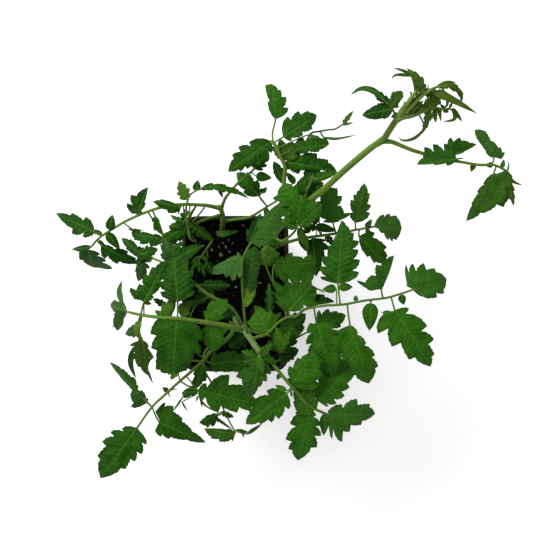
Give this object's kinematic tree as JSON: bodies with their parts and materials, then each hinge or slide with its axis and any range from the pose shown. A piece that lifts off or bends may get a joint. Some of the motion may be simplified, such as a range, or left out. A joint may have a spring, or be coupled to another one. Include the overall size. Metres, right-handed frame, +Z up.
{
  "type": "potted tomato plant",
  "caption": "Young tomato plant with lobed compound leaves on leaning stems, rooted in dark soil in a small rectangular plastic nursery pot.",
  "frame": {"origin": "middle of the pot's underside, on the surface that the pot stands on", "axes": "+Z up, +Y along the pot's longer side, towards the side that the leaves with the growing tip lean to, +X across the pot's shorter side, towards the long stem's tip"},
  "size_m": [0.4313, 0.3757, 0.365],
  "materials": {
    "pot_plastic": "satin",
    "potting_soil": "matte",
    "smooth_stem": "matte",
    "furry_stem": "matte",
    "leaf": "matte",
    "young_leaf": "matte"
  },
  "bodies": {
    "root": {"pot": "pot_plastic", "soil": "potting_soil", "stem_main": "smooth_stem", "stem_centre": "furry_stem", "stem_northwest": "smooth_stem", "young_shoot": "young_leaf", "nw_leaf_west": "leaf", "nw_shoot": "leaf", "nw_leaf_north": "leaf", "nw_leaf_east": "leaf", "seed_leaf": "leaf", "main_leaf_low_east": "leaf", "main_leaf_low_north": "leaf", "main_leaf_north": "leaf", "main_leaf_north_small": "leaf", "main_leaf_mid": "leaf", "main_leaf_far_east": "leaf", "tip_leaf_west": "young_leaf", "tip_leaf_arched": "young_leaf", "tip_leaf_north": "young_leaf", "tip_leaf_east": "young_leaf", "centre_leaf_east": "leaf", "centre_leaf_southeast": "leaf", "centre_leaf_west": "leaf", "centre_leaf_southwest": "leaf", "centre_leaf_south_low": "leaf", "centre_leaf_south": "leaf", "centre_leaf_north": "leaf", "centre_leaf_northwest": "leaf", "centre_leaf_inner_east": "leaf"}
  },
  "joints": []
}
